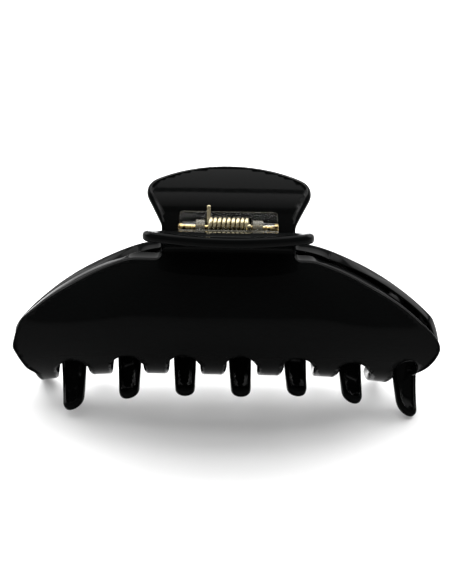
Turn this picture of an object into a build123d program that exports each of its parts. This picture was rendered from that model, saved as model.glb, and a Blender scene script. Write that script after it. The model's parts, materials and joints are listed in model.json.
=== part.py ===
"""Large claw hair clip: two identical toothed jaws of bent sheet, a clear hinge and a torsion spring.

X runs along the clip, the front jaw is on the -Y side, +Z is up, and the clip stands on its end teeth
with the origin under its middle.  Every section below is drawn around the hinge pin's axis, with
"out" measured from the middle plane towards the outside of a jaw.
"""
import os
from math import asin, cos, degrees, radians, sin, sqrt

from build123d import *

# ---- the sheet that each jaw is pressed from -------------------------------------------------------
sheet = 2.6                    # thickness
half_sheet = sheet / 2
pin_height = 54.254            # hinge pin above the ground, on which the end teeth stand

# ---- the belly: one arc, carried in towards the middle plane and down as it nears the ends ----------
belly_radius = 21.0            # middle of the sheet
belly_out = -7.66              # centre of the arc at mid-length
belly_down = 24.75
level_half = 12.0              # half-length of the straight middle stretch
sweep_half = 35.0              # distance over which the two shifts below are reached
sweep_in = 7.2
sweep_in_power = 1.7
sweep_drop = 7.2
sweep_drop_power = 2

# ---- the outline of a jaw -------------------------------------------------------------------------
half_length = 57.4
rim_radius = 72.0
rim_centre_down = 75.8
end_corner = 5.0               # rounding where the rim meets an end
lobe_bottom = 42.3             # the toothless end reaches this far below the pin
lobe_corner = 8.5
heel_top = 37.0                # the other end slopes from here down to its last tooth
ground_clear = 66.0            # a depth below every tooth
beyond = 1.0                   # how far a cutting shape runs past what it cuts
jaw_reach = 40.0               # a distance out from the middle plane beyond every part of a jaw

# ---- teeth ----------------------------------------------------------------------------------------
tooth_count = 7
tooth_pitch = 15.1
row_shift = -tooth_pitch / 4   # so that two identical jaws mesh, tooth between teeth
root_half = 3.25
tip_half = 2.75
root_down = 31.0
tip_down = 47.0
arch_angle = 17.0              # top of the arches at mid-length, below the belly's centre
arch_angle_gain = 4.0
end_arch_half = 3.0            # the narrower arch between the last tooth and the toothless end
end_arch_top = 36.5
tip_angle = 96.0               # end of the most curled tooth, along the belly's arc
tip_angle_place = 5.0
tip_angle_loss = 18.2          # teeth half a row away from that place stop this much earlier
row_half = tooth_pitch * (tooth_count - 1) / 2
tips_above = 37.0              # a depth below the pin that all the tips stay under

# ---- the tab --------------------------------------------------------------------------------------
fold_out = 4.9                 # centre of the tight fold between belly and tab
fold_down = 4.3
fold_radius = 3.0
tab_start = 46.0               # slope of the tab where it leaves the fold, from the vertical
tab_end = 78.7
tab_radius = 34.0
tab_neck_half = 17.4
tab_neck_run = 0.75            # from the fold to where the tab starts to flare
tab_neck_down = 9.0            # how far the neck is carried down over the fold
tab_corner_half = 22.4
tab_corner_run = 11.6          # from the fold to the tab's widest place, before its corner is rounded
tab_length = 19.4
tab_corner = 4.0

# ---- hinge ----------------------------------------------------------------------------------------
pin_radius = 0.7
running_gap = 0.05
leaf_length = 25.4
leaf_thick = 1.0
leaf_foot = 46.0               # slopes of the tab between which the leaf lies
leaf_top = 52.94
knuckle_notch_top = 48.22
coil_notch_top = 50.63
notch_play = 0.1               # at each side of the other leaf's knuckles
cut_angle = 2.0                # how far a notch's cutting shape runs past the leaf, along the tab
cut_under = 0.2
cut_over = 0.5
knuckle_outer_radius = 1.45
knuckle_inner_radius = 1.9
outer_knuckles = ((-12.0, -8.6), (9.0, 11.9))
inner_knuckles = ((-8.5, -6.1), (6.2, 8.9))
coil_notch_half = 5.95
leg_slot_half = 1.15
leg_slot_shift = 0.4           # the legs lean a little outward as they leave the coil
leg_slot_floor = 0.35          # what is left of the leaf under the spring's leg
peg_radius = 0.9
peg_depth = 1.1
peg_play = 0.01
peg_hole_extra = 0.1
peg_places = ((-10.2, 47.67), (-7.2, 49.89), (7.2, 49.89), (10.2, 47.67))
head_radius = 1.4
head_thick = 1.0
tail_radius = 1.05
tail_length = 1.0
end_rounding = 0.6             # share of the head's and the tail's length

# ---- torsion spring -------------------------------------------------------------------------------
wire_radius = 0.52
coil_radius = 1.46             # to the wire's centre
coil_lift = 0.2                # the loose coil hangs on the pin
coil_left = -5.2
coil_right = 5.3
coil_turns = 9.25
leg_length = 6.2
leg_slope = 45.0


def section(x):
    """Plane across the clip at x: local x points out of the front jaw, local y up, pin at (0, 0)."""
    return Plane(origin=(x, 0, pin_height), x_dir=(0, -1, 0), z_dir=(-1, 0, 0))


def side_view(out=0):
    """Plane along the clip: local x along it, local y up from the pin, normal out of the front jaw."""
    return Plane(origin=(0, -out, pin_height), x_dir=(1, 0, 0), z_dir=(0, -1, 0))


def belly_centre(x):
    """Centre of the belly's arc at x, out and up from the pin."""
    share = max(abs(x) - level_half, 0) / sweep_half
    shift_in = sweep_in * share ** sweep_in_power
    shift_down = sweep_drop * share ** sweep_drop_power
    return belly_out - shift_in, -belly_down - shift_down


def belly_point(x, angle, radius):
    """Point of the belly at x, at an angle below the arc's centre in degrees."""
    out, up = belly_centre(x)
    return out + radius * cos(radians(angle)), up - radius * sin(radians(angle))


def tooth_tip_angle(x):
    return tip_angle - tip_angle_loss * ((x - tip_angle_place) / row_half) ** 2


def arch_top_down(x):
    """Depth below the pin of the top of an arch at x."""
    angle = arch_angle + arch_angle_gain * ((x - row_shift) / row_half) ** 2
    return -belly_point(x, angle, belly_radius)[1]


def tooth_half(down):
    """Half the width of a tooth at a depth below the pin."""
    share = (down - root_down) / (tip_down - root_down)
    return root_half + (tip_half - root_half) * share


def tab_point(slope, radius):
    """Point of the tab whose surface leans outward from the vertical by slope, in degrees."""
    start = fold_point(tab_start, fold_radius)
    centre_out = start[0] + tab_radius * cos(radians(tab_start))
    centre_up = start[1] - tab_radius * sin(radians(tab_start))
    return centre_out - radius * cos(radians(slope)), centre_up + radius * sin(radians(slope))


def fold_point(slope, radius):
    return fold_out - radius * cos(radians(slope)), -fold_down + radius * sin(radians(slope))


tooth_places = [row_shift + tooth_pitch * (k - tooth_count // 2) for k in range(tooth_count)]
arch_places = [x + tooth_pitch / 2 for x in tooth_places[:-1]]
fold_slope = -degrees(asin((belly_down - fold_down) / (belly_radius + fold_radius)))
# The belly's arc ends where the fold's circle touches it, one fold radius away from the fold's centre.
belly_top_angle = fold_slope
right_stations = [6, 12, 17, 23, 29, 35, 41, 47, 53, 58]
stations = [-x for x in reversed(right_stations)] + [0] + right_stations
outer_belly = belly_radius + half_sheet
inner_belly = belly_radius - half_sheet


def on_tab(x, slope):
    """Plane on the tab's upper face at x, normal away from the sheet."""
    out, up = tab_point(slope, tab_radius + half_sheet)
    normal = (0, cos(radians(slope)), sin(radians(slope)))
    return Plane(origin=(x, -out, pin_height + up), x_dir=(1, 0, 0), z_dir=normal)


def tab_strip(start_slope, end_slope, low, high):
    """Closed outline that follows the tab between two slopes and two distances from its middle."""
    middle = (start_slope + end_slope) / 2
    low_radius = tab_radius + low
    high_radius = tab_radius + high
    ThreePointArc(*(tab_point(slope, low_radius) for slope in (start_slope, middle, end_slope)))
    Line(tab_point(end_slope, low_radius), tab_point(end_slope, high_radius))
    ThreePointArc(*(tab_point(slope, high_radius) for slope in (end_slope, middle, start_slope)))
    Line(tab_point(start_slope, high_radius), tab_point(start_slope, low_radius))


# ---- jaw ------------------------------------------------------------------------------------------
def cut_slot(x, half_width, top):
    """Round-topped slot between two teeth, running out through the ground."""
    spread = tooth_half(top) - tooth_half(ground_clear)
    spring = -top - half_width
    Polyline((x - half_width, spring), (x - half_width - spread, -ground_clear),
             (x + half_width + spread, -ground_clear), (x + half_width, spring))
    ThreePointArc((x + half_width, spring), (x, -top), (x - half_width, spring))


first_tooth = tooth_places[0]
last_tooth = tooth_places[-1]
rim_end_down = rim_centre_down - sqrt(rim_radius ** 2 - half_length ** 2)
with BuildSketch(side_view(-jaw_reach)) as outline:
    with Locations((0, -rim_centre_down)):
        Circle(rim_radius)
    with Locations((0, -ground_clear / 2)):
        Rectangle(2 * half_length, ground_clear, mode=Mode.INTERSECT)
    for x in (-half_length, half_length):
        fillet(outline.vertices().sort_by_distance((x, -rim_end_down, 0))[0], end_corner)
    for x in arch_places:
        with BuildLine():
            cut_slot(x, tooth_pitch / 2 - root_half, arch_top_down(x))
        make_face(mode=Mode.SUBTRACT)
    with BuildLine():
        cut_slot(last_tooth + root_half + end_arch_half, end_arch_half, end_arch_top)
    make_face(mode=Mode.SUBTRACT)
    with BuildLine():
        lobe_side = (half_length, lobe_corner - lobe_bottom)
        lobe_foot = (half_length - lobe_corner, -lobe_bottom)
        RadiusArc(lobe_foot, lobe_side, -lobe_corner)
        Polyline(lobe_side, (half_length + beyond, lobe_side[1]), (half_length + beyond, -ground_clear),
                 (last_tooth + root_half + end_arch_half, -ground_clear),
                 (last_tooth + root_half + end_arch_half, -lobe_bottom), lobe_foot)
    make_face(mode=Mode.SUBTRACT)
    with BuildLine():
        Polyline((-half_length - beyond, -heel_top), (-half_length, -heel_top),
                 (first_tooth - root_half, -tip_down),
                 (first_tooth - tooth_half(ground_clear), -ground_clear),
                 (-half_length - beyond, -ground_clear), close=True)
    make_face(mode=Mode.SUBTRACT)

tab_slope = (tab_start + tab_end) / 2
tab_base = tab_point(tab_start, tab_radius)
tab_plane = Plane(origin=(0, -tab_base[0], pin_height + tab_base[1]), x_dir=(1, 0, 0),
                  z_dir=(0, -cos(radians(tab_slope)), -sin(radians(tab_slope))))

with BuildSketch(tab_plane) as tab_outline:
    with BuildLine():
        Polyline((-tab_corner_half, tab_corner_run), (-tab_neck_half, tab_neck_run),
                 (-tab_neck_half, -tab_neck_down), (tab_neck_half, -tab_neck_down),
                 (tab_neck_half, tab_neck_run), (tab_corner_half, tab_corner_run))
        ThreePointArc((tab_corner_half, tab_corner_run), (0, tab_length),
                      (-tab_corner_half, tab_corner_run))
    make_face()
    corners = tab_outline.vertices().group_by(Axis.X)
    fillet(corners[0] + corners[-1], tab_corner)

with BuildPart() as tab:
    with BuildSketch(section(0)):
        with BuildLine():
            tab_strip(tab_start, tab_end + 2 * cut_angle, -half_sheet, half_sheet)
        make_face()
        with BuildLine():
            fold_middle = (fold_slope + tab_start) / 2
            inner_fold = fold_radius + half_sheet
            outer_fold = fold_radius - half_sheet
            ThreePointArc(*(fold_point(a, inner_fold) for a in (fold_slope, fold_middle, tab_start)))
            Line(fold_point(tab_start, inner_fold), fold_point(tab_start, outer_fold))
            ThreePointArc(*(fold_point(a, outer_fold) for a in (tab_start, fold_middle, fold_slope)))
            Line(fold_point(fold_slope, outer_fold), fold_point(fold_slope, inner_fold))
        make_face()
    extrude(amount=tab_corner_half + beyond, both=True)
    add(extrude(tab_outline.sketch, amount=tab_length, both=True, mode=Mode.PRIVATE),
        mode=Mode.INTERSECT)

with BuildPart() as front_jaw:
    for x in stations:
        with BuildSketch(section(x)):
            with BuildLine():
                end = tooth_tip_angle(x)
                middle = (belly_top_angle + end) / 2
                ThreePointArc(belly_point(x, belly_top_angle, outer_belly),
                              belly_point(x, middle, outer_belly), belly_point(x, end, outer_belly))
                Line(belly_point(x, end, outer_belly), belly_point(x, end, inner_belly))
                ThreePointArc(belly_point(x, end, inner_belly), belly_point(x, middle, inner_belly),
                              belly_point(x, belly_top_angle, inner_belly))
                Line(belly_point(x, belly_top_angle, inner_belly),
                     belly_point(x, belly_top_angle, outer_belly))
            make_face()
    loft()
    add(extrude(outline.sketch, amount=2 * jaw_reach, mode=Mode.PRIVATE), mode=Mode.INTERSECT)
    add(tab.part)
    with BuildSketch(Plane.XY.offset(-beyond)):
        for x in tooth_places:
            tip = belly_point(x, tooth_tip_angle(x), belly_radius)[0] + tip_half
            with Locations((x, -tip)):
                Rectangle(tooth_pitch / 2, 2 * tip_half, align=(Align.CENTER, Align.MIN))
                Circle(tip_half, mode=Mode.SUBTRACT)
    extrude(amount=pin_height + beyond - tips_above, mode=Mode.SUBTRACT)
    for x, slope in peg_places:
        with BuildSketch(on_tab(x, slope)):
            Circle(peg_radius)
        extrude(amount=-peg_depth - peg_hole_extra, mode=Mode.SUBTRACT)

with BuildPart() as rear_jaw:
    add(front_jaw.part.rotate(Axis.Z, 180))


# ---- hinge ----------------------------------------------------------------------------------------
def leaf_on_front_tab(knuckles, other_knuckles, knuckle_radius, bore, leg_place):
    """Clear leaf lying on the front tab, with its knuckles, its pegs and room for the other leaf's."""
    notches = [(start - notch_play, end + notch_play, knuckle_notch_top) for start, end in other_knuckles]
    notches.append((-coil_notch_half, coil_notch_half, coil_notch_top))
    with BuildPart() as leaf:
        with BuildSketch(section(0)):
            with BuildLine():
                tab_strip(leaf_foot, leaf_top, half_sheet, half_sheet + leaf_thick)
            make_face()
        extrude(amount=leaf_length / 2, both=True)
        for start, end, top in notches:
            with BuildSketch(section(end)):
                with BuildLine():
                    tab_strip(leaf_foot - cut_angle, top,
                              half_sheet - cut_under, half_sheet + leaf_thick + cut_over)
                make_face()
            extrude(amount=end - start, mode=Mode.SUBTRACT)
        with BuildSketch(section(leg_place + leg_slot_half)):
            with BuildLine():
                tab_strip(leaf_foot - cut_angle, leaf_top + cut_angle,
                          half_sheet + leg_slot_floor, half_sheet + leaf_thick + cut_over)
            make_face()
        extrude(amount=2 * leg_slot_half, mode=Mode.SUBTRACT)
        for start, end in knuckles:
            with BuildSketch(section(end)):
                Circle(knuckle_radius)
            extrude(amount=end - start)
            with BuildSketch(section(end)):
                Circle(bore)
            extrude(amount=end - start, mode=Mode.SUBTRACT)
        for x, slope in peg_places:
            with BuildSketch(on_tab(x, slope)):
                Circle(peg_radius - peg_play)
            extrude(amount=-peg_depth)
    return leaf.part


def turned(knuckles):
    """The same knuckles after half a turn about the vertical."""
    return tuple((-end, -start) for start, end in reversed(knuckles))


inner_leaf = leaf_on_front_tab(inner_knuckles, outer_knuckles, knuckle_inner_radius,
                               pin_radius + running_gap, coil_right + leg_slot_shift)
outer_leaf = leaf_on_front_tab(turned(outer_knuckles), turned(inner_knuckles), knuckle_outer_radius,
                               pin_radius, leg_slot_shift - coil_left)

with BuildPart() as front_hinge_leaf:
    add(inner_leaf)

with BuildPart() as rear_hinge_leaf:
    add(outer_leaf.rotate(Axis.Z, 180))

with BuildPart() as hinge_pin:
    with BuildSketch(section(outer_knuckles[1][1])):
        Circle(pin_radius)
    extrude(amount=outer_knuckles[1][1] - outer_knuckles[0][0])
    with BuildSketch(section(outer_knuckles[1][1] + head_thick)):
        Circle(head_radius)
    extrude(amount=head_thick)
    fillet(hinge_pin.edges().group_by(Axis.X)[-1], head_thick * end_rounding)
    with BuildSketch(section(outer_knuckles[0][0])):
        Circle(tail_radius)
    extrude(amount=tail_length)
    fillet(hinge_pin.edges().group_by(Axis.X)[0], tail_length * end_rounding)


# ---- torsion spring -------------------------------------------------------------------------------
leg_direction = radians(-leg_slope)
coil_plane = Plane(origin=(coil_left, 0, pin_height + coil_lift),
                   x_dir=(0, cos(leg_direction), sin(leg_direction)), z_dir=(1, 0, 0))
coil_width = coil_right - coil_left
coil_path = coil_plane * Helix(pitch=coil_width / coil_turns, height=coil_width, radius=coil_radius,
                               lefthand=True, mode=Mode.PRIVATE)
with BuildPart() as torsion_spring:
    with BuildSketch(Plane(origin=coil_path @ 0, z_dir=coil_path % 0)):
        Circle(wire_radius)
    sweep(path=coil_path, is_frenet=True)
    with BuildSketch(Plane(origin=coil_path @ 0, z_dir=coil_path % 0)):
        Circle(wire_radius)
    extrude(amount=-leg_length)
    with BuildSketch(Plane(origin=coil_path @ 1, z_dir=coil_path % 1)):
        Circle(wire_radius)
    extrude(amount=leg_length)

front_jaw.part.label = "front_jaw"
rear_jaw.part.label = "rear_jaw"
front_hinge_leaf.part.label = "front_hinge_leaf"
rear_hinge_leaf.part.label = "rear_hinge_leaf"
hinge_pin.part.label = "hinge_pin"
torsion_spring.part.label = "torsion_spring"

os.makedirs("parts", exist_ok=True)
export_step(front_jaw.part, "parts/front_jaw.step")
export_step(rear_jaw.part, "parts/rear_jaw.step")
export_step(front_hinge_leaf.part, "parts/front_hinge_leaf.step")
export_step(rear_hinge_leaf.part, "parts/rear_hinge_leaf.step")
export_step(hinge_pin.part, "parts/hinge_pin.step")
export_step(torsion_spring.part, "parts/torsion_spring.step")
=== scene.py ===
import json
from math import asin, atan2, cos, degrees, hypot, pi, radians, sin, sqrt, tan

import bmesh
import bpy
from mathutils import Matrix, Vector
from mathutils.geometry import delaunay_2d_cdt


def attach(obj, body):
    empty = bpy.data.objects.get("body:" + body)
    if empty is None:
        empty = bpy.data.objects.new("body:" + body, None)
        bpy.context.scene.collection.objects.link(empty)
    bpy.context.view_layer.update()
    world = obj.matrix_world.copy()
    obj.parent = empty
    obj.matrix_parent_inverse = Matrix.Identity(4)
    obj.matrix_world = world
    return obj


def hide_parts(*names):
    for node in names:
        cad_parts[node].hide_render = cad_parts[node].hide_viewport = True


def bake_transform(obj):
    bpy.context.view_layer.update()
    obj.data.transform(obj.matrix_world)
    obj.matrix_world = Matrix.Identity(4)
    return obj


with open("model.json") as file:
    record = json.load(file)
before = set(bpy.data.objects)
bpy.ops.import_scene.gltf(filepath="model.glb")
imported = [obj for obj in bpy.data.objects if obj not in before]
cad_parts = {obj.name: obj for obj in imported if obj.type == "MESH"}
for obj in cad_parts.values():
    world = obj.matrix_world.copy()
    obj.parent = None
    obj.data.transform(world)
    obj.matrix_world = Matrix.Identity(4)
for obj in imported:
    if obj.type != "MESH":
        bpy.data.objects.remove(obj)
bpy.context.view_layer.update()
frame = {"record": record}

MM = 0.001
hinge = frame["record"]["behaviour"]["joints"][0]["pos_m"]
PIN_UP = hinge[2] / MM
PIN_PLACE = Vector((0, 0, PIN_UP))
FRONT = "front_half"
REAR = "rear_half"

# ---- the sheet and its bends, in millimetres around the pin ----------------------------------------
SHEET = 2.6
SHEET_EDGE_ROUND = 0.4
TOOTH_EDGE_ROUND = 0.95
TAB_EDGE_ROUND = 1.05
BELLY_RADIUS = 21.0            # belly, fold and tab are three arcs that run into each other
BELLY_OUT = -7.66
BELLY_DOWN = 24.75
LEVEL_HALF = 12.0              # the belly is straight this far either side of the middle
SWEEP_HALF = 35.0              # and beyond that it comes in and its top drops
SWEEP_IN = 7.2
SWEEP_IN_POWER = 1.7
SWEEP_DROP = 7.2
SWEEP_DROP_POWER = 2
FOLD_OUT = 4.9
FOLD_DOWN = 4.3
FOLD_RADIUS = 3.0
TAB_START = radians(46.0)
TAB_RADIUS = 34.0
FOLD_START = -asin((BELLY_DOWN - FOLD_DOWN) / (BELLY_RADIUS + FOLD_RADIUS))
FOLD_LENGTH = FOLD_RADIUS * (TAB_START - FOLD_START)
TAB_CENTRE_OUT = FOLD_OUT + (TAB_RADIUS - FOLD_RADIUS) * cos(TAB_START)
TAB_CENTRE_UP = -FOLD_DOWN - (TAB_RADIUS - FOLD_RADIUS) * sin(TAB_START)
SAMPLE = 0.02                  # step for the slopes of the bent sheet

# ---- the flat outline ------------------------------------------------------------------------------
HALF_LENGTH = 57.4
RIM_RADIUS = 72.0
RIM_SHIFT = -0.9               # the rim's circle is a little off the middle of the clip
RIM_CENTRE_DOWN = 75.7
RIM_EASE = 0.5                 # keeps the rim below the fold where its circle would reach it
RIM_LEAN_IN = 1.6              # the rims of the closed jaws lean together until they nearly touch
LEAN_FULL = 34.0               # the lean grows from the neck to this place along the clip
LEAN_FADE = 44.0               # and loses a share of itself from here to the end
LEAN_LOSS = 0.6
LEAN_DEPTH = 16.0              # down the sheet it fades out over this length
LOBE_BOTTOM = 42.3             # down from the pin
LOBE_CORNER = 8.5
LOBE_START = -8.0              # where the lobe's arc takes over from the eased corner, in degrees
RIM_STOP = 54.9                # where the eased corner takes over from the rim's circle
CORNER_IN = 0.95               # middle of the eased corner, in from the end and up from half-way
CORNER_UP = 0.1
HEEL_FOOT = (-54.1, -43.3)     # bottom of the slope between the end and its first tooth
HEEL_SHOULDER = (-57.5, -36.8)
TOOTH_COUNT = 7
TOOTH_PITCH = 15.1
ROW_SHIFT = -TOOTH_PITCH / 4   # so that the teeth of the turned rear jaw pass between these
ROOT_HALF = 3.6
TIP_HALF = 2.7
ARCH_ANGLE = 17.0              # top of the arches, in degrees round the belly
ARCH_ANGLE_GAIN = 4.0
END_ARCH_HALF = 3.0
END_ARCH_TOP = 36.5            # down from the pin
END_ARCH_FOOT = 0.6            # the end arch's side starts this far above the lobe's bottom
TIP_ANGLE = 98.0               # tip of the longest tooth, in degrees round the belly
TIP_ANGLE_PLACE = 4.0          # its place along the clip
TIP_ANGLE_LOSS = 20.5          # half a row away from the longest tooth
TOOTH_LEAN = 0.3               # the tips sit this far to the left
ROOT_SHIFT = 0.45              # and the roots this far to the right
ROW_HALF = 3 * TOOTH_PITCH
TAB_NECK_HALF = 17.4
TAB_NECK_RUN = 0.75
TAB_CORNER_HALF = 22.9
TAB_CORNER_RUN = 12.1
TAB_LENGTH = 19.6
TAB_CORNER = 4.6
NECK_CURL = 0.3                # small fillet where the rim meets the neck
SLANT_LIMIT = radians(43.0)
SLANT_EASE = 4.0               # the slant starts this far inside the neck's side
SLANT_DEPTH = 9.0              # and fades out over this length down the sheet
FOLD_FOOT = -1.2               # the neck's outline starts a little way up the fold
STEP = 0.45                    # spacing of points along the outline
HALVINGS = 40                  # of the interval that holds the tab corner's centre

# ---- the sheet's edges and mesh --------------------------------------------------------------------
TOOTH_ROUND_START = 28.0       # from here down the sheet the edges grow rounder
TOOTH_ROUND_FULL = 40.0
TAB_ROUND_RUN = 4.0            # they also do so over this length at the foot of the tab
EDGE_STEPS = 5
JAW_GRID = 1.0
GUARD_SHARE = 0.4              # the grid keeps this share of its spacing away from the edge
CDT_INSIDE = 1                 # keep only the triangles inside the outline
CDT_TOLERANCE = 1e-6
SAME_PLACE = 0.0005            # points closer than this are one


def smooth(value, start, end):
    """Eased step from 0 at start to 1 at end."""
    share = min(max((value - start) / (end - start), 0), 1)
    return share * share * (3 - 2 * share)


def belly_shift(x):
    """How far the belly's section moves out and up at a place along the clip."""
    share = max(abs(x) - LEVEL_HALF, 0) / SWEEP_HALF
    return -SWEEP_IN * share ** SWEEP_IN_POWER, -SWEEP_DROP * share ** SWEEP_DROP_POWER


def profile(s):
    """Middle of the sheet at mid-length: out and up from the pin, s down the belly, negative up the tab."""
    if s >= 0:
        angle = FOLD_START + s / BELLY_RADIUS
        return BELLY_OUT + BELLY_RADIUS * cos(angle), -BELLY_DOWN - BELLY_RADIUS * sin(angle)
    if s >= -FOLD_LENGTH:
        slope = FOLD_START - s / FOLD_RADIUS
        return FOLD_OUT - FOLD_RADIUS * cos(slope), -FOLD_DOWN + FOLD_RADIUS * sin(slope)
    slope = TAB_START + (-s - FOLD_LENGTH) / TAB_RADIUS
    return TAB_CENTRE_OUT - TAB_RADIUS * cos(slope), TAB_CENTRE_UP + TAB_RADIUS * sin(slope)


def middle(x, s):
    """Middle of the front jaw's sheet at flat place (x, s), in millimetres around the pin."""
    out, up = profile(s)
    shift_out, shift_up = belly_shift(x)
    fade = smooth(s, -FOLD_LENGTH, 0)
    return Vector((x, -(out + shift_out * fade - rim_lean(x, s)), up + shift_up * fade))


def rim_lean(x, s):
    """How far the sheet near the rim leans towards the other jaw, besides its round profile."""
    along = smooth(abs(x), TAB_NECK_HALF, LEAN_FULL)
    kept = 1 - LEAN_LOSS * smooth(abs(x), LEAN_FADE, HALF_LENGTH)
    near_rim = smooth(s, 2 * FOLD_FOOT, FOLD_FOOT) * (1 - smooth(s - rim_s(x), 0, LEAN_DEPTH))
    return RIM_LEAN_IN * along * kept * near_rim


def rim_slant(x, s):
    """How far the sheet's faces slide along it near the rim, which is cut straight from the front."""
    edge = rim_s(x)
    slant = tan(min(-FOLD_START - edge / BELLY_RADIUS, SLANT_LIMIT))
    beside_neck = smooth(abs(x), TAB_NECK_HALF - SLANT_EASE, TAB_NECK_HALF)
    near_rim = smooth(s, 2 * FOLD_FOOT, FOLD_FOOT) * (1 - smooth(s - edge, 0, SLANT_DEPTH))
    return slant * beside_neck * near_rim


def bent(x, s, height):
    """Point at a height above the middle of the sheet, outward from the belly."""
    s += rim_slant(x, s) * height
    along = middle(x + SAMPLE, s) - middle(x - SAMPLE, s)
    down = middle(x, s + SAMPLE) - middle(x, s - SAMPLE)
    normal = down.cross(along).normalized()
    return middle(x, s) + normal * height


def belly_s(x, up):
    """Flat coordinate of the belly's point at x and at a height up from the pin, below the fold."""
    rise = (-BELLY_DOWN + belly_shift(x)[1] - up) / BELLY_RADIUS
    if rise < sin(FOLD_START):
        return (rise - sin(FOLD_START)) * BELLY_RADIUS / cos(FOLD_START)
    return (asin(min(rise, 1)) - FOLD_START) * BELLY_RADIUS


def rim_s(x):
    """Flat coordinate of the rim at x: its circle, kept below the fold beside the neck."""
    circle = belly_s(x, rim_up(x))
    return (circle + hypot(circle, RIM_EASE)) / 2


def tip_s(x):
    """Flat coordinate of the end of a tooth at x."""
    angle = TIP_ANGLE - TIP_ANGLE_LOSS * ((x - TIP_ANGLE_PLACE) / ROW_HALF) ** 2
    return (radians(angle) - FOLD_START) * BELLY_RADIUS


def arch_s(x):
    """Flat coordinate of the top of an arch between teeth at x."""
    angle = ARCH_ANGLE + ARCH_ANGLE_GAIN * ((x - ROW_SHIFT) / ROW_HALF) ** 2
    return (radians(angle) - FOLD_START) * BELLY_RADIUS


def arc(cx, cy, radius, start, end):
    """Points of a circular arc from one angle to another, in degrees."""
    count = max(int(abs(radians(end - start)) * radius / STEP), 2)
    angles = [radians(start + (end - start) * k / count) for k in range(count + 1)]
    return [(cx + radius * cos(a), cy + radius * sin(a)) for a in angles]


def line(a, b):
    """Points of a straight line from a to b."""
    count = max(int(hypot(b[0] - a[0], b[1] - a[1]) / STEP), 1)
    return [(a[0] + (b[0] - a[0]) * k / count, a[1] + (b[1] - a[1]) * k / count) for k in range(count + 1)]


def arc_through(a, b, c):
    """Points of the circular arc from a through b to c."""
    ax, ay = a[0] - b[0], a[1] - b[1]
    cx, cy = c[0] - b[0], c[1] - b[1]
    d = 2 * (ax * cy - ay * cx)
    ux = (cy * (ax * ax + ay * ay) - ay * (cx * cx + cy * cy)) / d
    uy = (ax * (cx * cx + cy * cy) - cx * (ax * ax + ay * ay)) / d
    radius = hypot(ux, uy)
    centre = (b[0] + ux, b[1] + uy)
    start = atan2(a[1] - centre[1], a[0] - centre[0])
    turn = atan2(c[1] - centre[1], c[0] - centre[0]) - start
    sense = 1 if d < 0 else -1
    turn = (turn * sense) % (2 * pi) * sense
    count = max(int(abs(turn) * radius / STEP), 2)
    return [(centre[0] + radius * cos(start + turn * k / count),
             centre[1] + radius * sin(start + turn * k / count)) for k in range(count + 1)]


def tooth(x):
    """Outline of one tooth, from the root of its right side round the tip to its left side."""
    root = arch_s(x) + ROOT_HALF
    tip = tip_s(x) - TIP_HALF
    tip_x = x - TOOTH_LEAN
    root_x = x + ROOT_SHIFT
    return (line((root_x + ROOT_HALF, root), (tip_x + TIP_HALF, tip))
            + arc(tip_x, tip, TIP_HALF, 0, 180)
            + line((tip_x - TIP_HALF, tip), (root_x - ROOT_HALF, root)))


def arch(x):
    """Outline of the arch between two teeth, from right to left."""
    half = TOOTH_PITCH / 2 - ROOT_HALF
    return arc(x, arch_s(x) + half, half, 0, -180)


def rim_up(x):
    """Height of the rim's circle at x, seen from the front."""
    return sqrt(RIM_RADIUS ** 2 - (x - RIM_SHIFT) ** 2) - RIM_CENTRE_DOWN


def rim(start, end):
    """The rim's circle seen from the front, laid on the sheet."""
    count = int(abs(end - start) / STEP)
    places = [start + (end - start) * k / count for k in range(count + 1)]
    return [(x, rim_s(x)) for x in places]


def seen_from_front(points):
    """Points drawn in the front view, as x and height around the pin, laid on the sheet."""
    return [(x, belly_s(x, up)) for x, up in points]


def rim_corner(side, end):
    """Eased corner between the rim and an end, from the rim downwards."""
    start = (side * RIM_STOP, rim_up(side * RIM_STOP))
    between = (side * (HALF_LENGTH - CORNER_IN), (start[1] + end[1]) / 2 + CORNER_UP)
    return arc_through(start, between, end)


def jaw_outline():
    """Closed outline of the flat jaw, from the neck's right side by the teeth to the tab."""
    teeth = [ROW_SHIFT + TOOTH_PITCH * (k - TOOTH_COUNT // 2) for k in range(TOOTH_COUNT)]
    neck = TAB_NECK_HALF + NECK_CURL
    lobe_centre = (HALF_LENGTH - LOBE_CORNER, LOBE_CORNER - LOBE_BOTTOM)
    outline = rim(neck, RIM_STOP)
    lobe = arc(*lobe_centre, LOBE_CORNER, LOBE_START, -90)
    outline += seen_from_front(rim_corner(1, lobe[0])[1:] + lobe[1:])
    end_arch_x = teeth[-1] + ROOT_HALF + END_ARCH_HALF
    end_arch_side = end_arch_x + END_ARCH_HALF
    outline += seen_from_front([(end_arch_side, END_ARCH_FOOT - LOBE_BOTTOM)])
    outline += seen_from_front(arc(end_arch_x, -END_ARCH_TOP - END_ARCH_HALF, END_ARCH_HALF, 0, 180))
    for x in reversed(teeth):
        outline += tooth(x)
        if x > teeth[0]:
            outline += arch(x - TOOTH_PITCH / 2)[1:-1]
    heel_foot = seen_from_front([HEEL_FOOT])[0]
    while outline[-1][1] < heel_foot[1]:
        outline.pop()
    outline += line(outline[-1], heel_foot)[1:]
    outline += seen_from_front(line(HEEL_FOOT, HEEL_SHOULDER)[1:])
    outline += seen_from_front(rim_corner(-1, HEEL_SHOULDER)[-2::-1])
    outline += rim(-RIM_STOP, -neck)[1:]
    outline += tab_loop()
    return evened(outline)


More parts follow.
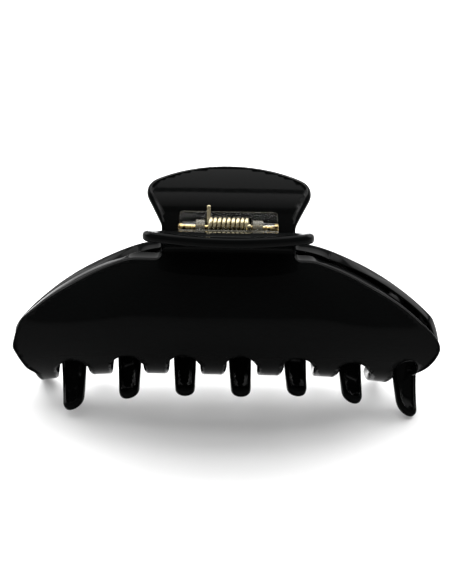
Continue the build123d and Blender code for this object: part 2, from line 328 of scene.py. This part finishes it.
def tab_loop():
    """The tab's sides, corners and top, from the neck's left side to its right side."""
    corner = (TAB_CORNER_HALF, TAB_CORNER_RUN)
    top_radius = (corner[0] ** 2 + (TAB_LENGTH - corner[1]) ** 2) / (2 * (TAB_LENGTH - corner[1]))
    top_centre = TAB_LENGTH - top_radius
    flare = atan2(TAB_CORNER_HALF - TAB_NECK_HALF, TAB_CORNER_RUN - TAB_NECK_RUN)
    # centre of the corner's circle: TAB_CORNER inside both the side's line and the top's circle
    low, high = 0.0, corner[1]
    for _ in range(HALVINGS):
        run = (low + high) / 2
        x = TAB_NECK_HALF + (run - TAB_NECK_RUN) * tan(flare) - TAB_CORNER / cos(flare)
        if hypot(x, run - top_centre) < top_radius - TAB_CORNER:
            low = run
        else:
            high = run
    top_angle = degrees(atan2(run - top_centre, x))
    rounding = arc(x, run, TAB_CORNER, -degrees(flare), top_angle)
    right = line((TAB_NECK_HALF, 0.0), (TAB_NECK_HALF, TAB_NECK_RUN))[:-1]
    right += line((TAB_NECK_HALF, TAB_NECK_RUN), rounding[0])[:-1] + rounding[:-1]
    top = arc(0, top_centre, top_radius, top_angle, 180 - top_angle)
    loop = [(-px, py) for px, py in right] + top[::-1] + right[::-1]
    on_sheet = [(px, -FOLD_LENGTH - py) for px, py in loop]
    return [(-TAB_NECK_HALF, FOLD_FOOT)] + on_sheet + [(TAB_NECK_HALF, FOLD_FOOT)]


def evened(points, step=STEP, passes=4):
    """The closed outline again with evenly spaced points and its sharp corners eased."""
    closed = points + points[:1]
    lengths = [0.0]
    for a, b in zip(closed, closed[1:]):
        lengths.append(lengths[-1] + hypot(b[0] - a[0], b[1] - a[1]))
    count = int(lengths[-1] / step)
    even = []
    k = 0
    for n in range(count):
        want = lengths[-1] * n / count
        while lengths[k + 1] < want:
            k += 1
        span = lengths[k + 1] - lengths[k]
        share = (want - lengths[k]) / span if span else 0
        even.append((closed[k][0] + (closed[k + 1][0] - closed[k][0]) * share,
                     closed[k][1] + (closed[k + 1][1] - closed[k][1]) * share))
    for _ in range(passes):
        even = [((even[i - 1][0] + 2 * p[0] + even[(i + 1) % count][0]) / 4,
                 (even[i - 1][1] + 2 * p[1] + even[(i + 1) % count][1]) / 4)
                for i, p in enumerate(even)]
    return even


def inset_point(loop, i, distance):
    """A point of the loop moved towards its inside; the loop runs counter-clockwise."""
    ax, ay = loop[i - 1]
    bx, by = loop[(i + 1) % len(loop)]
    length = hypot(bx - ax, by - ay)
    return loop[i][0] - (by - ay) / length * distance, loop[i][1] + (bx - ax) / length * distance


def area(loop):
    """Area inside the loop, negative if it runs clockwise."""
    return sum(a[0] * b[1] - b[0] * a[1] for a, b in zip(loop, loop[1:] + loop[:1])) / 2


def jaw_edge_round(s):
    """Radius of the sheet's edges: tight round the belly, generous on the teeth and the tab."""
    tooth_share = smooth(s, TOOTH_ROUND_START, TOOTH_ROUND_FULL)
    tab_share = smooth(-s, FOLD_LENGTH, FOLD_LENGTH + TAB_ROUND_RUN)
    return (SHEET_EDGE_ROUND + (TOOTH_EDGE_ROUND - SHEET_EDGE_ROUND) * tooth_share
            + (TAB_EDGE_ROUND - SHEET_EDGE_ROUND) * tab_share)


def grid_inside(guard, pitch):
    """Triangular grid of points inside a closed loop."""
    low = min(y for _, y in guard)
    high = max(y for _, y in guard)
    left_end = min(x for x, _ in guard)
    inside = []
    row = 0
    y = low + pitch / 2
    while y < high:
        crossings = []
        for a, b in zip(guard, guard[1:] + guard[:1]):
            if (a[1] > y) != (b[1] > y):
                crossings.append(a[0] + (y - a[1]) / (b[1] - a[1]) * (b[0] - a[0]))
        crossings.sort()
        for left, right in zip(crossings[::2], crossings[1::2]):
            k = int((left - left_end) / pitch) + 1
            while left_end + (k + row % 2 / 2) * pitch < right:
                inside.append((left_end + (k + row % 2 / 2) * pitch, y))
                k += 1
        row += 1
        y += pitch * sqrt(3) / 2
    return inside


def filled(loop, inner):
    """Flat points and triangles inside a loop, through its own points, which come first, and inner ones."""
    flat = [Vector(p) for p in loop + inner]
    edges = [(i, (i + 1) % len(loop)) for i in range(len(loop))]
    found, _, faces, sources, _, _ = delaunay_2d_cdt(flat, edges, [], CDT_INSIDE, CDT_TOLERANCE)
    extra = [i for i, source in enumerate(sources) if not source]
    index = {i: source[0] for i, source in enumerate(sources) if source}
    index.update({i: len(flat) + k for k, i in enumerate(extra)})
    points = [tuple(p) for p in flat] + [tuple(found[i]) for i in extra]
    return points, [[index[i] for i in face] for face in faces]


def smooth_mesh(name, vertices, polygons):
    mesh = bpy.data.meshes.new(name)
    mesh.from_pydata(vertices, [], polygons)
    mesh.validate()
    mesh.shade_smooth()
    return mesh


def sheet_mesh(name, loop, place, half_thick, edge_round, pitch):
    """Sheet with a closed flat outline, bent by place(x, s, height): two faces joined by a rounded edge."""
    if area(loop) < 0:
        loop = loop[::-1]
    rings = []
    for k in range(EDGE_STEPS + 1):
        angle = pi / 2 * k / EDGE_STEPS
        ring = [inset_point(loop, i, edge_round(p[1]) * (1 - cos(angle))) for i, p in enumerate(loop)]
        drops = [edge_round(p[1]) * (1 - sin(angle)) for p in loop]
        rings.append((ring, drops))
    count = len(loop)
    guard = [inset_point(loop, i, edge_round(p[1]) + pitch * GUARD_SHARE) for i, p in enumerate(loop)]
    flat, triangles = filled(rings[-1][0], grid_inside(guard, pitch))
    vertices = []
    polygons = []
    outer_rings = []
    for side in (1, -1):
        base = len(vertices)
        vertices += [place(x, y, side * half_thick) for x, y in flat]
        for triangle in triangles:
            corners = [base + i for i in triangle]
            polygons.append(corners if side < 0 else corners[::-1])
        starts = [base]
        for ring, drops in reversed(rings[:-1]):
            starts.append(len(vertices))
            vertices += [place(x, y, side * (half_thick - drop)) for (x, y), drop in zip(ring, drops)]
        for a, b in zip(starts, starts[1:]):
            for i in range(count):
                j = (i + 1) % count
                quad = [a + i, a + j, b + j, b + i]
                polygons.append(quad if side < 0 else quad[::-1])
        outer_rings.append(starts[-1])
    upper, lower = outer_rings
    for i in range(count):
        j = (i + 1) % count
        polygons.append([upper + i, lower + i, lower + j, upper + j])
    return smooth_mesh(name, [(v + PIN_PLACE) * MM for v in vertices], polygons)


# ---- materials -------------------------------------------------------------------------------------
SHEET_IOR = 1.09               # a very deep black: it mirrors little except at its edges
MIX_SHARE, MIX_A, MIX_B = 0, 6, 7   # a colour Mix node's inputs
MIX_RESULT = 2


def new_material(name):
    """Material with its nodes, links, shader and the coordinates that its textures use."""
    material = bpy.data.materials.new(name)
    material.use_nodes = True
    nodes = material.node_tree.nodes
    links = material.node_tree.links
    shader = nodes["Principled BSDF"]
    place = nodes.new("ShaderNodeTexCoord")
    return material, nodes, links, shader, place


def noise(nodes, links, place, scale, detail=3.0):
    texture = nodes.new("ShaderNodeTexNoise")
    texture.inputs["Scale"].default_value = scale
    texture.inputs["Detail"].default_value = detail
    links.new(place.outputs["Object"], texture.inputs["Vector"])
    return texture


def ranged(nodes, links, source, low, high, reach=0.2):
    """Noise within reach of its middle value, spread from low to high."""
    spread = nodes.new("ShaderNodeMapRange")
    spread.inputs["From Min"].default_value = 0.5 - reach
    spread.inputs["From Max"].default_value = 0.5 + reach
    spread.inputs["To Min"].default_value = low
    spread.inputs["To Max"].default_value = high
    links.new(source, spread.inputs["Value"])
    return spread.outputs["Result"]


def roughness(nodes, links, shader, texture, low, high):
    links.new(ranged(nodes, links, texture.outputs["Fac"], low, high), shader.inputs["Roughness"])


def bump(nodes, links, shader, texture, strength, distance):
    node = nodes.new("ShaderNodeBump")
    node.inputs["Strength"].default_value = strength
    node.inputs["Distance"].default_value = distance
    links.new(texture.outputs["Fac"], node.inputs["Height"])
    links.new(node.outputs["Normal"], shader.inputs["Normal"])


def two_tone(nodes, links, shader, source, dark, light):
    """Base colour that drifts from dark to light with the source."""
    mix = nodes.new("ShaderNodeMix")
    mix.data_type = "RGBA"
    mix.inputs[MIX_A].default_value = (*dark, 1)
    mix.inputs[MIX_B].default_value = (*light, 1)
    links.new(source, mix.inputs[MIX_SHARE])
    links.new(mix.outputs[MIX_RESULT], shader.inputs["Base Color"])


def black_sheet():
    """Deep black polished sheet with faint long waves and a haze of handling."""
    material, nodes, links, shader, place = new_material("polished_black_sheet")
    shader.inputs["IOR"].default_value = SHEET_IOR
    tone = noise(nodes, links, place, scale=45.0)
    two_tone(nodes, links, shader, tone.outputs["Fac"], (0.0013, 0.0014, 0.0014), (0.0022, 0.0024, 0.0024))
    haze = noise(nodes, links, place, scale=900.0, detail=5.0)
    roughness(nodes, links, shader, haze, low=0.05, high=0.12)
    wave = noise(nodes, links, place, scale=70.0, detail=2.0)
    bump(nodes, links, shader, wave, strength=0.1, distance=0.0005)
    return material


def clear_plastic(name, ior):
    """Water-clear moulding with a slight haze and flow ripples."""
    material, nodes, links, shader, place = new_material(name)
    shader.inputs["Base Color"].default_value = (0.97, 0.97, 0.95, 1)
    shader.inputs["Transmission Weight"].default_value = 1.0
    shader.inputs["IOR"].default_value = ior
    haze = noise(nodes, links, place, scale=700.0, detail=4.0)
    roughness(nodes, links, shader, haze, low=0.02, high=0.12)
    ripple = noise(nodes, links, place, scale=260.0, detail=2.0)
    bump(nodes, links, shader, ripple, strength=0.25, distance=0.0003)
    return material


def frosted_plastic():
    """The same plastic on sawn sides and on the inner knuckles: milky, with a satin sheen."""
    material, nodes, links, shader, place = new_material("frosted_plastic")
    shader.inputs["Base Color"].default_value = (0.3, 0.28, 0.22, 1)
    shader.inputs["Transmission Weight"].default_value = 0.7
    shader.inputs["IOR"].default_value = 1.3
    haze = noise(nodes, links, place, scale=1500.0, detail=5.0)
    roughness(nodes, links, shader, haze, low=0.15, high=0.35)
    bump(nodes, links, shader, haze, strength=0.3, distance=0.0002)
    return material


def gold_metal(name, colour, dark, rough_low, rough_high, reach):
    """Plated metal whose colour and roughness drift along it. On the wire this is a mild real tone drift; on
    the pin it is a deep dark mottle of painted refraction, standing in for the blotches that the clear
    knuckles bend into its brass.
    """
    material, nodes, links, shader, place = new_material(name)
    shader.inputs["Metallic"].default_value = 1.0
    tone = noise(nodes, links, place, scale=1200.0, detail=4.0)
    tone_and_painted_mottle = ranged(nodes, links, tone.outputs["Fac"], low=0.0, high=1.0, reach=reach)
    two_tone(nodes, links, shader, tone_and_painted_mottle, dark, colour)
    fine = noise(nodes, links, place, scale=2500.0, detail=4.0)
    roughness(nodes, links, shader, fine, rough_low, rough_high)
    bump(nodes, links, shader, fine, strength=0.15, distance=0.0001)
    return material


def matte(name, tone, grain_scale, rough_low, rough_high):
    """Dull grey surface with no gloss, for the floor and the card."""
    material, nodes, links, shader, place = new_material(name)
    shader.inputs["Base Color"].default_value = (tone, tone, tone, 1)
    shader.inputs["Specular IOR Level"].default_value = 0.0
    grain = noise(nodes, links, place, grain_scale)
    roughness(nodes, links, shader, grain, rough_low, rough_high)
    return material


def add_object(name, mesh, material):
    piece = bpy.data.objects.new(name, mesh)
    bpy.context.scene.collection.objects.link(piece)
    mesh.materials.clear()
    mesh.materials.append(material)
    return piece


# ---- jaws ------------------------------------------------------------------------------------------
sheet_material = black_sheet()
front_mesh = sheet_mesh("front_jaw_sheet", jaw_outline(), bent, SHEET / 2, jaw_edge_round, JAW_GRID)
front_jaw = add_object("front_jaw_sheet", front_mesh, sheet_material)
rear_mesh = front_mesh.copy()
rear_mesh.name = "rear_jaw_sheet"
rear_mesh.transform(Matrix.Rotation(pi, 4, "Z"))
rear_jaw = add_object("rear_jaw_sheet", rear_mesh, sheet_material)
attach(front_jaw, FRONT)
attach(rear_jaw, REAR)
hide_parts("front_jaw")
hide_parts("rear_jaw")

# ---- hinge leaves and pin --------------------------------------------------------------------------
LEAF_HALF = 12.7
LEAF_FOOT = 0.0                # distances along the tab from its foot
LEAF_TOP = 4.15
LEAF_THICK = 1.0
LEAF_TOP_THICK = 0.6           # the leaf thins towards its outer edge
LEAF_THIN_FROM = 1.5
LEAF_GAP = 0.01                # between the leaf and the face of its tab
LEAF_CORNER = 0.9
LEAF_EDGE_ROUND = 0.12
LEAF_STEP = 0.2
LEAF_GRID = 0.6
NOTCH_PLAY = 0.12
KNUCKLE_NOTCH = 1.3
COIL_NOTCH = 2.75
COIL_NOTCH_HALF = 5.95
OUTER_KNUCKLES = ((-12.0, -8.6), (9.0, 11.9))
INNER_KNUCKLES = ((-8.5, -6.1), (6.2, 8.9))
OUTER_RADIUS = 1.45
INNER_RADIUS = 2.0
BORE = 0.75                    # radius of the knuckles' holes
KNUCKLE_EASE = 0.22
EASE_STEPS = 4
PEGS = ((-10.2, 1.0), (-7.2, 2.3), (7.2, 2.3), (10.2, 1.0))
PEG_RADIUS = 0.9
PEG_SIDES = 28
# heights above the leaf and distances in from the peg's side: a bevelled rim round a shallow cup
PEG_HEAD = ((-0.5, 0.0), (0.05, 0.0), (0.12, 0.08), (0.12, 0.3), (0.02, 0.45), (0.02, 0.78))
CLEAR, FROSTED, CLEAR_KNUCKLE = 0, 1, 2   # places in a leaf's list of materials
SIDE_FACE = 0.85               # a face whose normal follows the leaf's less than this is a sawn side
LEAF_CREASE = radians(50)
PIN_EDGE = 0.1
PIN_CREASE = radians(35)


def on_leaf(x, run, share):
    """Point of a leaf on the front tab: share 0 is against the tab, 1 the leaf's upper face."""
    slope = TAB_START + run / TAB_RADIUS
    thick = LEAF_THICK + (LEAF_TOP_THICK - LEAF_THICK) * smooth(run, LEAF_THIN_FROM, LEAF_TOP)
    radius = TAB_RADIUS + SHEET / 2 + LEAF_GAP + thick * share
    return Vector((x, -(TAB_CENTRE_OUT - radius * cos(slope)), TAB_CENTRE_UP + radius * sin(slope)))


def leaf_outline(other_knuckles):
    """Flat outline of a leaf with notches for the other leaf's knuckles and for the coil."""
    notches = [(start - NOTCH_PLAY, end + NOTCH_PLAY, KNUCKLE_NOTCH) for start, end in other_knuckles]
    notches = sorted(notches + [(-COIL_NOTCH_HALF, COIL_NOTCH_HALF, COIL_NOTCH)])
    points = [(-LEAF_HALF, LEAF_FOOT)]
    for start, end, depth in notches:
        points += [(start, LEAF_FOOT), (start, depth), (end, depth), (end, LEAF_FOOT)]
    points.append((LEAF_HALF, LEAF_FOOT))
    outline = []
    for a, b in zip(points, points[1:]):
        outline += line(a, b)[:-1]
    corner_x = LEAF_HALF - LEAF_CORNER
    corner_run = LEAF_TOP - LEAF_CORNER
    outline += line((LEAF_HALF, LEAF_FOOT), (LEAF_HALF, corner_run))[:-1]
    outline += arc(corner_x, corner_run, LEAF_CORNER, 0, 90)
    outline += line((corner_x, LEAF_TOP), (-corner_x, LEAF_TOP))[1:-1]
    outline += arc(-corner_x, corner_run, LEAF_CORNER, 90, 180)
    outline += line((-LEAF_HALF, corner_run), (-LEAF_HALF, LEAF_FOOT))[1:-1]
    return evened(outline, LEAF_STEP, 1)


def ring_faces(count, sides, closed=False):
    """Faces that join rings of points in turn: back to the first ring if closed, or else capped."""
    polygons = []
    for r in range(count if closed else count - 1):
        after = (r + 1) % count
        for k in range(sides):
            j = (k + 1) % sides
            polygons.append([r * sides + k, r * sides + j, after * sides + j, after * sides + k])
    if not closed:
        polygons.append(list(range(sides))[::-1])
        polygons.append(list(range((count - 1) * sides, count * sides)))
    return polygons


def turned_section(section, frame_point, sides=40):
    """Vertices and faces of a section of (along, radius) turned about an axis; frame_point places them."""
    vertices = []
    closed = section[0] == section[-1]
    rows = section[:-1] if closed else section
    for along, radius in rows:
        for k in range(sides):
            angle = 2 * pi * k / sides
            vertices.append(frame_point(along, radius * cos(angle), radius * sin(angle)))
    return vertices, ring_faces(len(rows), sides, closed)


def knuckle(start, end, radius):
    """Tube around the pin with eased rims."""
    inner = radius - KNUCKLE_EASE
    angles = [pi / 2 * k / EASE_STEPS for k in range(EASE_STEPS + 1)]
    curve = [(inner + KNUCKLE_EASE * sin(a), KNUCKLE_EASE - KNUCKLE_EASE * cos(a)) for a in angles]
    section = [(start, BORE), (start, inner)]
    section += [(start + x, r) for r, x in curve[1:]]
    section += [(end - x, r) for r, x in curve[::-1]]
    section += [(end, BORE), (start, BORE)]
    return turned_section(section, lambda along, a, b: Vector((along, a, b)))


def peg(x, run):
    """Head of a peg, standing a little proud of the leaf."""
    top = on_leaf(x, run, 1)
    across = Vector((1, 0, 0))
    up = (top - on_leaf(x, run, 0)).normalized()
    other = up.cross(across)
    section = [(height, PEG_RADIUS - inset) for height, inset in PEG_HEAD]
    return turned_section(section, lambda along, a, b: top + up * along + across * a + other * b, PEG_SIDES)


def joined(name, parts, materials):
    """One clean mesh of parts, each given as vertices, polygons and its place in the list of materials."""
    vertices = []
    polygons = []
    kinds = []
    for part_vertices, part_polygons, kind in parts:
        base = len(vertices)
        vertices += [(v + PIN_PLACE) * MM for v in part_vertices]
        polygons += [[base + i for i in polygon] for polygon in part_polygons]
        kinds += [kind] * len(part_polygons)
    mesh = bpy.data.meshes.new(name)
    mesh.from_pydata(vertices, [], polygons)
    for polygon, kind in zip(mesh.polygons, kinds):
        polygon.material_index = kind
    shape = bmesh.new()
    shape.from_mesh(mesh)
    bmesh.ops.delete(shape, geom=[v for v in shape.verts if not v.link_faces], context="VERTS")
    bmesh.ops.remove_doubles(shape, verts=shape.verts, dist=SAME_PLACE * MM)
    bmesh.ops.recalc_face_normals(shape, faces=shape.faces)
    shape.to_mesh(mesh)
    shape.free()
    for material in materials:
        mesh.materials.append(material)
    mesh.shade_smooth()
    return mesh


def leaf_object(name, knuckles, other_knuckles, radius, body, node):
    """Leaf on the front tab; the rear one is turned half a turn about the vertical afterwards."""
    # heights in the plate are shares of its thickness, counted from half-way
    plate = sheet_mesh(name + "_plate", leaf_outline(other_knuckles),
                       lambda x, run, height: on_leaf(x, run, 0.5 + height), 0.5,
                       lambda run: LEAF_EDGE_ROUND, LEAF_GRID)
    points = [v.co / MM - PIN_PLACE for v in plate.vertices]
    upward = (on_leaf(0, LEAF_TOP / 2, 1) - on_leaf(0, LEAF_TOP / 2, 0)).normalized()
    faces = {CLEAR: [], FROSTED: []}
    for polygon in plate.polygons:
        sawn = abs(polygon.normal.dot(upward)) < SIDE_FACE
        faces[FROSTED if sawn else CLEAR].append(list(polygon.vertices))
    bpy.data.meshes.remove(plate)
    parts = [(points, faces[kind], kind) for kind in (CLEAR, FROSTED)]
    knuckle_kind = FROSTED if body == FRONT else CLEAR_KNUCKLE
    parts += [(*knuckle(start, end, radius), knuckle_kind) for start, end in knuckles]
    parts += [(*peg(x, run), CLEAR) for x, run in PEGS]
    mesh = joined(name, parts, (clear, frosted, clear_knuckle))
    if body == REAR:
        mesh.transform(Matrix.Rotation(pi, 4, "Z"))
    leaf = bpy.data.objects.new(name, mesh)
    bpy.context.scene.collection.objects.link(leaf)
    crease = leaf.modifiers.new("crisp_corners", "EDGE_SPLIT")
    crease.split_angle = LEAF_CREASE
    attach(leaf, body)
    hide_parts(node)


def turned(knuckles):
    """The same knuckles on a leaf that is yet to be turned half a turn about the vertical."""
    return tuple((-end, -start) for start, end in reversed(knuckles))


clear = clear_plastic("clear_moulded_plastic", ior=1.14)
clear_knuckle = clear_plastic("clear_knuckle_plastic", ior=1.22)
frosted = frosted_plastic()
# The pin's near-black dark colour and narrow reach make a deep brown mottle. This is painted refraction from
# the clear knuckles round the pin, not the brass's own colour.
pin_gold = gold_metal("pin_gold", colour=(0.6, 0.45, 0.2), dark=(0.03, 0.018, 0.008),
                      rough_low=0.22, rough_high=0.4, reach=0.08)
wire_gold = gold_metal("pale_gold_wire", colour=(0.42, 0.37, 0.24), dark=(0.28, 0.24, 0.15),
                       rough_low=0.18, rough_high=0.32, reach=0.2)
leaf_object("front_leaf", INNER_KNUCKLES, OUTER_KNUCKLES, INNER_RADIUS, FRONT, "front_hinge_leaf")
leaf_object("rear_leaf", turned(OUTER_KNUCKLES), turned(INNER_KNUCKLES), OUTER_RADIUS, REAR,
            "rear_hinge_leaf")
pin_piece = bpy.data.objects["hinge_pin"]
for slot in pin_piece.material_slots:
    slot.material = pin_gold
soften = pin_piece.modifiers.new("soft_edges", "BEVEL")
soften.width = PIN_EDGE * MM
soften.segments = 3
soften.limit_method = "ANGLE"
soften.angle_limit = PIN_CREASE

# ---- torsion spring --------------------------------------------------------------------------------
WIRE = 0.53                    # radius of the wire
COIL = 1.85                    # radius of the coil's middle line
COIL_LIFT = 0.45               # the coil hangs loose, this far above the pin
COIL_LEFT = -5.2
COIL_RIGHT = 5.3
LEG = 5.8
LEG_SLOPE = radians(-41.0)
COIL_TURNS = 9.5 + LEG_SLOPE / pi   # nine and a half turns, less both legs' slopes
LEG_STEPS = 12
TURN_STEPS = 40
PITCH_EASE = 0.1               # share of the coil's advance that eases in and out
CUT_ROUND = 0.25               # rounding of the wire's cut ends, as a share of its radius


def spring_path():
    """Middle of the wire: in along the rear tab's leg, round the coil, out along the front tab's leg."""
    def around(angle, x, run):
        """Point at an angle round the coil, moved along the tangent there by a run."""
        y = COIL * cos(angle) - run * sin(angle)
        z = COIL * sin(angle) + run * cos(angle)
        return Vector((x, y, z + COIL_LIFT + PIN_UP)) * MM
    points = [around(LEG_SLOPE, COIL_LEFT, LEG * (1 - k / LEG_STEPS)) for k in range(LEG_STEPS)]
    count = int(COIL_TURNS * TURN_STEPS)
    end = LEG_SLOPE - COIL_TURNS * 2 * pi
    for k in range(count + 1):
        share = k / count
        ease = smooth(share, 0, 1) * PITCH_EASE + share * (1 - PITCH_EASE)
        points.append(around(LEG_SLOPE + (end - LEG_SLOPE) * share,
                             COIL_LEFT + (COIL_RIGHT - COIL_LEFT) * ease, 0))
    points += [around(end, COIL_RIGHT, -LEG * (k + 1) / LEG_STEPS) for k in range(LEG_STEPS)]
    return points


def tube(name, points, radius, sides=20):
    """Round wire along points, with slightly rounded cut ends."""
    last = len(points) - 1
    tangents = [(points[min(i + 1, last)] - points[max(i - 1, 0)]).normalized() for i in range(last + 1)]
    side = tangents[0].orthogonal().normalized()
    cut = radius * CUT_ROUND
    shifts = [cut] + [0] * (last - 1) + [-cut]
    rings = [(points[0], tangents[0], side, 1 - CUT_ROUND)]
    for point, tangent, shift in zip(points, tangents, shifts):
        side = (side - tangent * side.dot(tangent)).normalized()
        rings.append((point + tangent * shift, tangent, side, 1))
    rings.append((points[-1], tangents[-1], side, 1 - CUT_ROUND))
    vertices = []
    for centre, along, across, scale in rings:
        other = along.cross(across)
        for k in range(sides):
            angle = 2 * pi * k / sides
            vertices.append(centre + (across * cos(angle) + other * sin(angle)) * radius * scale)
    return smooth_mesh(name, vertices, ring_faces(len(rings), sides))


spring = add_object("spring_wire", tube("spring_wire", spring_path(), WIRE * MM), wire_gold)
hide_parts("torsion_spring")
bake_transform(spring)

# ---- floor, light and camera, in metres ------------------------------------------------------------
FLOOR_SIZE = 4.0
WORLD_STRENGTH = 0.5
AIM = Vector((0, 0, 0.04))     # all panels face this place in the clip
FADE_LOW = 0.08                # brightness at the dark edge of a fading panel
CARD_PLACE = (0, -0.155, 0.88)
CARD_SIZE = (1.3, 0.085, 1)

bpy.ops.mesh.primitive_plane_add(size=FLOOR_SIZE, location=(0, 0, 0))
floor = bpy.context.object
floor.name = "floor"
floor.data.materials.append(matte("pale_floor", tone=0.8, grain_scale=30.0, rough_low=0.8, rough_high=0.9))

world = bpy.data.worlds.new("studio")
bpy.context.scene.world = world
world.use_nodes = True
world.node_tree.nodes["Background"].inputs["Color"].default_value = (1, 1, 1, 1)
world.node_tree.nodes["Background"].inputs["Strength"].default_value = WORLD_STRENGTH


def soft_light(name, heading, height, distance, size, radiance, fading=False):
    """Soft panel that faces the clip, from a heading (0 is the front, 90 the right) and a height in degrees.

    A fading panel is bright along one long edge and nearly dark along the other.
    """
    turn = radians(heading)
    rise = radians(height)
    direction = Vector((sin(turn) * cos(rise), -cos(turn) * cos(rise), sin(rise)))
    data = bpy.data.lights.new(name, "AREA")
    data.shape = "RECTANGLE"
    data.size = size[0]
    data.size_y = size[1]
    data.energy = radiance * pi * size[0] * size[1]
    if fading:
        data.use_nodes = True
        nodes = data.node_tree.nodes
        place = nodes.new("ShaderNodeNewGeometry")
        split = nodes.new("ShaderNodeSeparateXYZ")
        fade = nodes.new("ShaderNodeMapRange")
        fade.inputs["To Min"].default_value = FADE_LOW
        data.node_tree.links.new(place.outputs["Parametric"], split.inputs[0])
        data.node_tree.links.new(split.outputs["Y"], fade.inputs["Value"])
        data.node_tree.links.new(fade.outputs["Result"], nodes["Emission"].inputs["Strength"])
    lamp = bpy.data.objects.new(name, data)
    lamp.location = AIM + direction * distance
    lamp.rotation_euler = direction.to_track_quat("Z", "Y").to_euler()
    bpy.context.scene.collection.objects.link(lamp)


soft_light("back_panel", heading=180, height=62, distance=0.9, size=(1.3, 0.53), radiance=5.5)
soft_light("horizon_panel", heading=180, height=22, distance=1.3, size=(2.4, 0.7), radiance=2.5)
soft_light("left_panel", heading=238, height=20, distance=0.9, size=(0.5, 0.5), radiance=6.0)
soft_light("right_panel", heading=122, height=20, distance=0.9, size=(0.5, 0.5), radiance=6.0)
soft_light("top_panel", heading=180, height=91, distance=0.9, size=(1.3, 0.25), radiance=8.0, fading=True)

# A black card in front of the top panel gives the tab its dark band.
bpy.ops.mesh.primitive_plane_add(size=1.0, location=CARD_PLACE)
card = bpy.context.object
card.name = "black_card"
card.scale = CARD_SIZE
card_black = matte("black_card", tone=0.001, grain_scale=50.0, rough_low=0.85, rough_high=0.95)
card.data.materials.append(card_black)

bpy.context.scene.view_settings.view_transform = "Standard"

ELEVATION = radians(30.0)
DISTANCE = 0.380
FIELD_WIDTH = 0.1168           # of the picture, at the pin
DROP = radians(2.5)            # the camera looks this far below the pin
PAN = radians(0.068)           # small turns that the photo shows
ROLL = radians(0.95)
SENSOR = 36.0
pin = Vector((0, 0, PIN_UP * MM))
eye = pin + Vector((0, -cos(ELEVATION), sin(ELEVATION))) * DISTANCE
data = bpy.data.cameras.new("camera")
data.sensor_fit = "HORIZONTAL"
data.sensor_width = SENSOR
data.lens = SENSOR * DISTANCE / FIELD_WIDTH
camera = bpy.data.objects.new("camera", data)
bpy.context.scene.collection.objects.link(camera)
tilt = Matrix.Rotation(pi / 2 - ELEVATION - DROP, 4, "X")
view = Matrix.Rotation(PAN, 4, "Z") @ tilt @ Matrix.Rotation(ROLL, 4, "Z")
camera.matrix_world = Matrix.Translation(eye) @ view
bpy.context.scene.camera = camera
